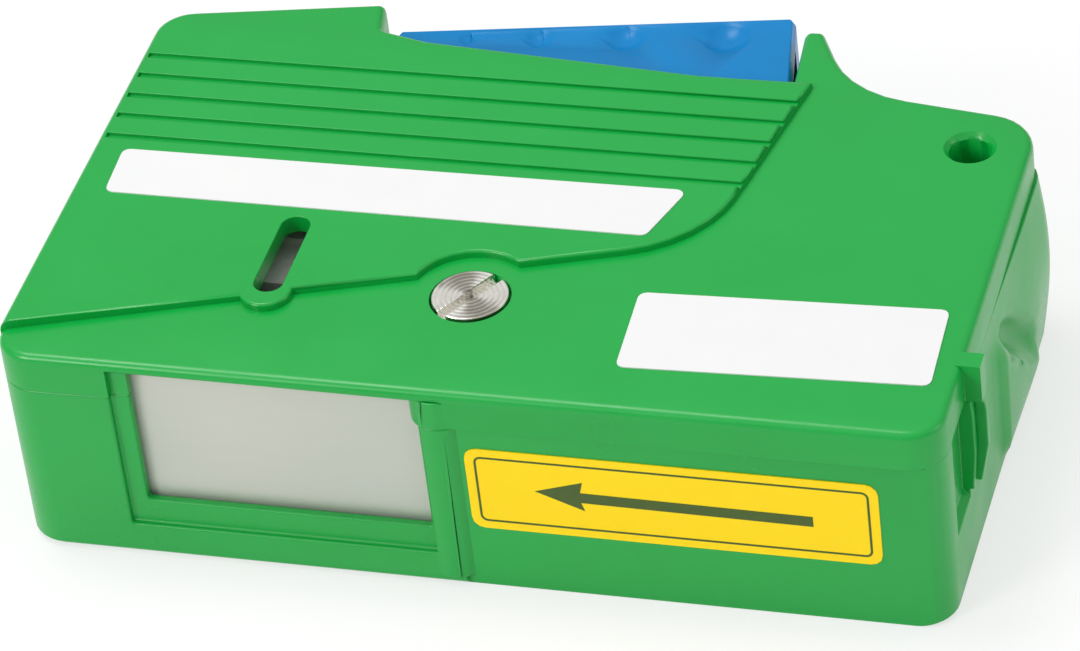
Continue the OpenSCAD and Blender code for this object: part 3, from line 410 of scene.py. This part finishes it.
def cover_softness(edge, middle):
    """Upper cover: the step round the raised zone is the softest, and its grooves keep crisp."""
    from_horn = min((v.co - horn_root).length for v in edge.verts)
    if edge.calc_length() < shortest or from_horn < at_hand:
        return 0
    if middle.z < rim_z - 2 * close:
        at_seam = abs(middle.z - seam_z) < at_hand
        on_front = middle.y < front_y + wall_t and middle.z > seam_z
        return 0.3 if at_seam or on_front else 0
    walls = [f for f in edge.link_faces if abs(f.normal.z) < 0.3]
    walls_from = min((v.co.z for f in walls for v in f.verts), default=0)
    if middle.z < top_z - close or not walls:
        return 0
    if abs(middle.x) > shell_high.x - rim_t and walls_from < rim_z - close:
        return 0
    from_slot = middle - slot_at
    in_slot = abs(from_slot.x) < slot_half_x and abs(from_slot.y) < slot_half_y
    return 0.25 if in_slot or walls_from > rim_z + 2 * close else 0.9


long_edge, long_edge_left = 0.03, -0.02
cover_copy = copied("upper_cover")
notch_edge = [e for e in cover_copy.edges
              if all(v.co.z > roof_low - close and v.co.y > notch_y for v in e.verts)
              and abs(e.verts[0].co.z - e.verts[1].co.z) < 1e-5
              and min(v.co.x for v in e.verts) < long_edge_left and e.calc_length() > long_edge]
bmesh.ops.subdivide_edges(cover_copy, edges=notch_edge, cuts=notch_cuts, use_grid_fill=True)
for vert in cover_copy.verts:
    over_notch = notch_left < vert.co.x < notch_right and vert.co.y > notch_y
    if over_notch and vert.co.z > roof_low - close:
        along = (vert.co.x - notch_left) / (notch_right - notch_left)
        vert.co.y -= notch_sag * min(1, along * left_fade, (1 - along) * right_fade)
skin_of("upper_cover", "cover_shell", "cover", green_shell, cover_copy,
        cover_softness, edge_soft)


# Thumb lever
# One blue moulding with an upper and a lower web, pivoted at the left end. The dips in its
# top grow towards the free end and show which way it is pressed.
blue, blue_lit = tint(0, 119, 184), tint(0, 131, 196)
blue_relief = 0.00003
blue_lever = Surface("blue_lever", Specular_IOR_Level=0.25)
blue_mottle = blue_lever.clouded(0.01, blue, blue_lit)
blue_lever.set(Roughness=blue_lever.eased(blue_mottle, noise_low, noise_high,
                                          moulded_gloss, moulded_dull))
blue_lever.relief(blue_lever.noise(0.0006), blue_relief, 0.4)

lever_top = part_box("lever")[1].z
lever_root_x = -0.0305
lever_reach = 0.054
lever_face_from, lever_face_to = 0.0265, 0.031
tip_out = 0.0008
dip_deepest = 0.0009
dip_gain = 1.8
lever_soft = 0.0004
dip_edge = 0.0012
end_tall = 0.004


def lever_softness(edge, middle):
    """Lever: the rim of its top and its free end are rounded, and the dips keep their edge."""
    at_top = any(f.normal.z > 0.9 and f.calc_center_median().z > lever_top - lever_soft
                 for f in edge.link_faces)
    upright = abs(edge.verts[0].co.z - edge.verts[1].co.z) > end_tall
    return 0.6 if (at_top or upright) and edge.calc_length() > dip_edge else 0


lever_copy = copied("lever")
for vert in lever_copy.verts:
    along = ease(vert.co.x, lever_root_x, lever_root_x + lever_reach)
    vert.co.y += tip_out * along * ease(vert.co.y, lever_face_from, lever_face_to)
    sunk = lever_top - vert.co.z
    if 0 < sunk < dip_deepest:
        vert.co.z = lever_top - sunk * dip_gain
skin_of("lever", "thumb_lever", "lever", blue_lever, lever_copy,
        lever_softness, lever_soft)


# Window shutter
# A thin plate with a satin lacquer, rolled lengthwise, so faint lines run across the window.
satin_plate = Surface("satin_plate", Metallic=0.35)
satin_plate.clouded(0.02, tint(186, 193, 183), tint(203, 202, 192), 1.0)
rolled = satin_plate.noise(0.0006, stretch=(0.06, 1, 1))
satin_plate.set(Roughness=satin_plate.eased(rolled, noise_low, noise_high, 0.36, 0.46))
satin_plate.relief(rolled, 0.00001)


def dress(finish, *nodes):
    """Gives CAD nodes whose shape is right their material."""
    for name in nodes:
        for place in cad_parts[name].material_slots:
            place.material = finish.material


dress(satin_plate, "shutter")


# Coin screw
# Brass turned on a lathe and nickelled. The tool leaves rings on the head, and the slot is sawn
# across them. The light the rings catch in a fan is painted into the head's colour as painted
# light.
screw_low, screw_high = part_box("coin_screw")
screw_middle = (screw_low + screw_high) / 2
ring_pitch = 0.00062
ring_waver = 0.00016
centre_mark, rings_from = 0.0002, 0.0012
# The one way across the head along which the painted fan-shaped highlight lies.
painted_fan_way = (0.8, 0.6, 0)
nickel = Surface("turned_nickel", Metallic=1.0)
from_axis = nickel.vector("SUBTRACT", nickel.here(), (screw_middle.x, screw_middle.y, 0))
from_axis = nickel.vector("MULTIPLY", from_axis, (1, 1, 0))
reach = nickel.node("ShaderNodeVectorMath", {"operation": "LENGTH"}, {0: from_axis}, out="Value")
spoke = nickel.node("ShaderNodeVectorMath", {"operation": "NORMALIZE"}, {0: from_axis})
toward = nickel.vector("DOT_PRODUCT", spoke, painted_fan_way, out="Value")
wobble = nickel.noise(0.0016)
rings = nickel.math("SINE", (reach + wobble * ring_waver) * (2 * math.pi / ring_pitch))
# Painted highlight: the head is paler in a fan along one fixed way, as if the rings caught the
# light there.
painted_fan = nickel.eased(toward * toward + wobble * 0.25, 0.15, 0.75)
turned_part = nickel.eased(reach, centre_mark, rings_from)
# The head's colour is painted light: the painted fan highlight, and painted bright and dark bands
# on the rings over the real turning marks, which the bump carries.
painted_shine = (rings * 0.22 + painted_fan - 0.55) * turned_part + wobble * 0.4 + 0.55
nickel.set(Base_Color=nickel.blend(nickel.eased(painted_shine, -0.1, 1.3),
                                   tint(156, 151, 139), tint(246, 244, 236)))
nickel.set(Roughness=nickel.eased(wobble, noise_low, noise_high, 0.22, 0.34))
nickel.relief(rings * 0.5 + wobble * 0.4, 0.00003, 0.8)

slot_turn = math.radians(95.3)
head_soft = 0.00025


def head_softness(edge, middle):
    """Coin screw: the rim of the head and the lips of its slot are broken by lathe and saw."""
    on_head = middle.z > screw_high.z - at_hand
    return 0.6 if on_head and edge.calc_length() > close else 0


screw_copy = copied("coin_screw")
bmesh.ops.rotate(screw_copy, verts=screw_copy.verts, cent=screw_middle,
                 matrix=Matrix.Rotation(slot_turn, 3, "Z"))
skin_of("coin_screw", "turned_screw", "coin_screw", nickel, screw_copy,
        head_softness, head_soft)


# Labels
# Self-adhesive film under a clear laminate: two plain white ones, and a yellow one with a
# border and an arrow that says which way the connector is drawn.
film_waves = 0.00002
white_film = Surface("white_film", Roughness=0.3, Specular_IOR_Level=0.4)
white_cloud = white_film.clouded(0.006, tint(228, 229, 229), tint(233, 233, 232))
white_film.relief(white_cloud, film_waves, 0.3)
dress(white_film, "title_label", "info_label")

yellow_film = Surface("yellow_film", Roughness=0.3, Specular_IOR_Level=0.25)
yellow_cloud = yellow_film.clouded(0.006, tint(253, 214, 0), tint(255, 220, 6))
yellow_film.relief(yellow_cloud, film_waves, 0.3)
dress(yellow_film, "arrow_label")

ink = Surface("olive_ink", Roughness=0.38, Specular_IOR_Level=0.25)
ink.clouded(0.0012, tint(66, 88, 36), tint(78, 98, 44))

label_low, label_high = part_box("arrow_label")
print_t = 0.00003
print_y = label_low.y


def printed(name, shape):
    """A film of ink on the yellow label, from a flat shape drawn on X and Z at its face."""
    bmesh.ops.recalc_face_normals(shape, faces=shape.faces)
    drawn = bmesh.ops.extrude_face_region(shape, geom=shape.faces[:])
    lifted = [v for v in drawn["geom"] if isinstance(v, bmesh.types.BMVert)]
    bmesh.ops.translate(shape, verts=lifted, vec=(0, -print_t, 0))
    bmesh.ops.recalc_face_normals(shape, faces=shape.faces)
    mesh = bpy.data.meshes.new(name)
    shape.to_mesh(mesh)
    shape.free()
    mesh.materials.append(ink.material)
    piece = bpy.data.objects.new(name, mesh)
    bpy.context.scene.collection.objects.link(piece)
    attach(piece, "case")


def drawn_face(shape, points):
    """A flat face on the label, from points on X and Z."""
    return shape.faces.new([shape.verts.new((x, print_y, z)) for x, z in points])


border_inset = 0.0011
border_w = 0.00028
border_r = 0.0009
left, right = label_low.x + border_inset, label_high.x - border_inset
bottom, top = label_low.z + border_inset, label_high.z - border_inset
border = bmesh.new()
drawn_face(border, [(left, bottom), (right, bottom), (right, top), (left, top)])
bmesh.ops.bevel(border, geom=border.verts[:], offset=border_r, segments=5, profile=0.5,
                affect="VERTICES", material=-1)
field = border.faces[:]
bmesh.ops.inset_region(border, faces=field, thickness=border_w, use_boundary=True,
                       use_even_offset=True)
bmesh.ops.delete(border, geom=field, context="FACES")
printed("label_border", border)

tip_x, head_x, tail_x = 0.00735, 0.01325, 0.0407
neck_x = head_x - 0.0004
arrow_z = (bottom + top) / 2
head_half, shaft_half = 0.00195, 0.00075
tip_lift = 0.0004
tail_drop = 0.0003
arrow = bmesh.new()
drawn_face(arrow, [(x, arrow_z + z) for x, z in (
    (tip_x, tip_lift), (head_x, -head_half), (neck_x, -shaft_half),
    (tail_x, -shaft_half - tail_drop), (tail_x, shaft_half - tail_drop),
    (neck_x, shaft_half), (head_x, head_half + tip_lift))])
printed("label_arrow", arrow)


# Cleaning tape and its rolls
# A soft white tape of fine woven microfibre, drawn off the full roll, over two pins behind
# the window and onto the take-up roll. Each roll is tape wound turn on turn.
tape_cloth = Surface("tape_cloth", Roughness=0.85, Sheen_Weight=0.25, Sheen_Roughness=0.4)
fibres = tape_cloth.clouded(0.0007, tint(228, 229, 226), tint(247, 247, 244), 3.0)
weft = tape_cloth.node("ShaderNodeTexWave", {"wave_type": "BANDS", "bands_direction": "Z"},
                       {"Vector": tape_cloth.here(), "Scale": 900.0, "Distortion": 0.6,
                        "Detail": 1.0})
tape_cloth.relief(weft * 0.5 + fibres, 0.00004)


def stood(name, shape, node, body, finish):
    """Puts a finished mesh in the scene in a node's place."""
    mesh = bpy.data.meshes.new(name)
    shape.to_mesh(mesh)
    shape.free()
    mesh.materials.append(finish.material)
    piece = bpy.data.objects.new(name, mesh)
    bpy.context.scene.collection.objects.link(piece)
    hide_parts(node)
    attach(piece, body)
    return piece


def ring_of(cut, middle, steps):
    """A ring spun from its cut: a closed row of points, each a radius and a height."""
    shape = bmesh.new()
    row = [shape.verts.new((middle.x + r, middle.y, z)) for r, z in cut]
    loop = [shape.edges.new(pair) for pair in zip(row, row[1:] + row[:1])]
    bmesh.ops.spin(shape, geom=row + loop, cent=middle, axis=(0, 0, 1), angle=2 * math.pi,
                   steps=steps, use_merge=True)
    bmesh.ops.remove_doubles(shape, verts=shape.verts, dist=1e-7)
    bmesh.ops.recalc_face_normals(shape, faces=shape.faces)
    return shape


turn_pitch = 0.0003
turn_sunk = 0.00006
roll_steps = 96


def wound(node, name, body, hub):
    """A roll of tape, whose end faces step in and out once a turn."""
    low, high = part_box(node)
    outer = (high.x - low.x) / 2
    turns = int((outer - hub) / turn_pitch)
    pitch = (outer - hub) / turns
    face = [(hub + pitch * (k + part), sunk)
            for k in range(turns) for part, sunk in ((0, turn_sunk), (0.5, 0))]
    face.append((outer, turn_sunk))
    cut = [(r, high.z - d) for r, d in face] + [(r, low.z + d) for r, d in reversed(face)]
    stood(name, ring_of(cut, (low + high) / 2, roll_steps), node, body, tape_cloth)


supply_hub_r, takeup_hub_r = 0.012, 0.009
wound("supply_tape_roll", "supply_winding", "supply_reel", supply_hub_r)
wound("takeup_tape_roll", "takeup_winding", "takeup_reel", takeup_hub_r)

supply_at, supply_r = Vector((0.028, 0.044, 0)), 0.0195
takeup_at, takeup_r = Vector((0.084, 0.0414, 0)), 0.013
left_pin_at, right_pin_at = Vector((0.0102, 0.0074, 0)), Vector((0.0569, 0.0074, 0))
pin_r = 0.0015
tape_off = 0.0002
tape_t = 0.00012
bend_steps = 12
tape_low, tape_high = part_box("cleaning_tape")
tape_wide = tape_high.z - tape_low.z
rounds = [(corner_at + place, r + tape_off)
          for place, r in ((supply_at, supply_r), (left_pin_at, pin_r),
                           (right_pin_at, pin_r), (takeup_at, takeup_r))]


def leaving(first, second):
    """The angle of the straight run that leaves one round on its right and meets the next."""
    (start, r0), (end, r1) = first, second
    away = end - start
    return math.atan2(away.y, away.x) - math.asin((r1 - r0) / away.length)


def on_round(which, angle):
    """Where the tape touches a round when it runs at an angle."""
    centre, radius = rounds[which]
    return centre + radius * Vector((math.sin(angle), -math.cos(angle), 0))


runs = [leaving(rounds[k], rounds[k + 1]) for k in range(3)]
route = [on_round(0, runs[0])]
for pin in (1, 2):
    start, end = runs[pin - 1], runs[pin]
    route += [on_round(pin, start + (end - start) * k / bend_steps) for k in range(bend_steps + 1)]
route.append(on_round(3, runs[2]))
tape_long = sum((b - a).length for a, b in zip(route, route[1:]))

ribbon = bmesh.new()
laid = [ribbon.verts.new((p.x, p.y, tape_low.z)) for p in route]
edges = [ribbon.edges.new(pair) for pair in zip(laid, laid[1:])]
raised = bmesh.ops.extrude_edge_only(ribbon, edges=edges)
upper = [v for v in raised["geom"] if isinstance(v, bmesh.types.BMVert)]
bmesh.ops.translate(ribbon, verts=upper, vec=(0, 0, tape_wide))
bmesh.ops.solidify(ribbon, geom=ribbon.faces[:], thickness=tape_t)
bmesh.ops.recalc_face_normals(ribbon, faces=ribbon.faces)
tape_run = stood("tape_run", ribbon, "cleaning_tape", "case", tape_cloth)


# Pins, pawls and springs
# Bright drawn steel: pins pressed into the case, wire and leaf springs, blanked pawls and
# the ring that keeps the screw in the cover. The die leaves fine lines along them.
bright_steel = Surface("bright_steel", Base_Color=tint(196, 198, 200), Metallic=1.0)
drawn_lines = bright_steel.noise(0.0004, stretch=(1, 1, 0.1))
bright_steel.set(Roughness=bright_steel.eased(drawn_lines, noise_low, noise_high, 0.22, 0.36))
bright_steel.relief(drawn_lines, 0.000008)
dress(bright_steel, "lever_pivot_pin", "lever_return_spring", "guide_pins", "drive_pawl",
      "drive_pawl_pin", "drive_pawl_spring", "stop_pawl", "stop_pawl_pin", "stop_pawl_spring",
      "brake_spring", "screw_retaining_ring")


# Running mouldings
# Natural acetal, which slides without oil: the push bar, the stepped gear, the pad's holder,
# both reels and the ratchet wheel, with a waxy and faintly clouded skin.
acetal = Surface("natural_acetal", Roughness=0.38, Subsurface_Weight=0.05)
acetal.clouded(0.008, tint(226, 224, 213), tint(236, 234, 225))
acetal.relief(acetal.noise(0.0008), 0.00002, 0.4)
dress(acetal, "push_bar", "shutter_gear", "pad_holder", "supply_reel_core",
      "takeup_reel_core", "ratchet_wheel")


# Face plate and its pad
# The black plate with two openings that the connector is drawn across, moulded with a fine
# grain, and the rubber pad that backs the tape behind them.
black_moulding = Surface("black_moulding", Roughness=0.5)
black_moulding.clouded(0.006, tint(28, 29, 31), tint(38, 39, 41))
black_moulding.relief(black_moulding.noise(0.0005), 0.00003)
dress(black_moulding, "ferrule_face_plate")

rubber = Surface("pad_rubber", Roughness=0.75)
rubber_cloud = rubber.clouded(0.002, tint(34, 34, 36), tint(50, 50, 52), 3.0)
rubber.relief(rubber_cloud, 0.00003)
dress(rubber, "platen_pad")


# Threaded insert
# Knurled brass, melted into the screw's boss, so that the coin screw can be undone often.
brass = Surface("insert_brass", Base_Color=tint(205, 170, 92), Metallic=1.0, Roughness=0.3)
knurl = brass.node("ShaderNodeTexWave", {"wave_type": "BANDS", "bands_direction": "DIAGONAL"},
                   {"Vector": brass.here(), "Scale": 500.0})
brass.relief(knurl, 0.00008, 0.8)
dress(brass, "threaded_insert")


# Brake washer
# A ring of grey felt under the supply reel, cut with a slightly crushed outer rim. The wave
# spring presses it against the reel, so the full roll doesn't run on.
felt = Surface("brake_felt", Roughness=0.95, Sheen_Weight=0.3, Sheen_Roughness=0.5)
felt_fibres = felt.clouded(0.0006, tint(58, 60, 62), tint(98, 100, 102), 4.0)
felt.relief(felt_fibres, 0.0001, 0.8)
felt_low, felt_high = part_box("brake_washer")
felt_out, felt_in = (felt_high.x - felt_low.x) / 2, 0.0033
crushed = 0.0001
felt_steps = 48
felt_cut = [(felt_in, felt_low.z), (felt_out - crushed, felt_low.z),
            (felt_out, felt_low.z + crushed), (felt_out, felt_high.z - crushed),
            (felt_out - crushed, felt_high.z), (felt_in, felt_high.z)]
felt_ring = ring_of(felt_cut, (felt_low + felt_high) / 2, felt_steps)
stood("felt_brake", felt_ring, "brake_washer", "case", felt)
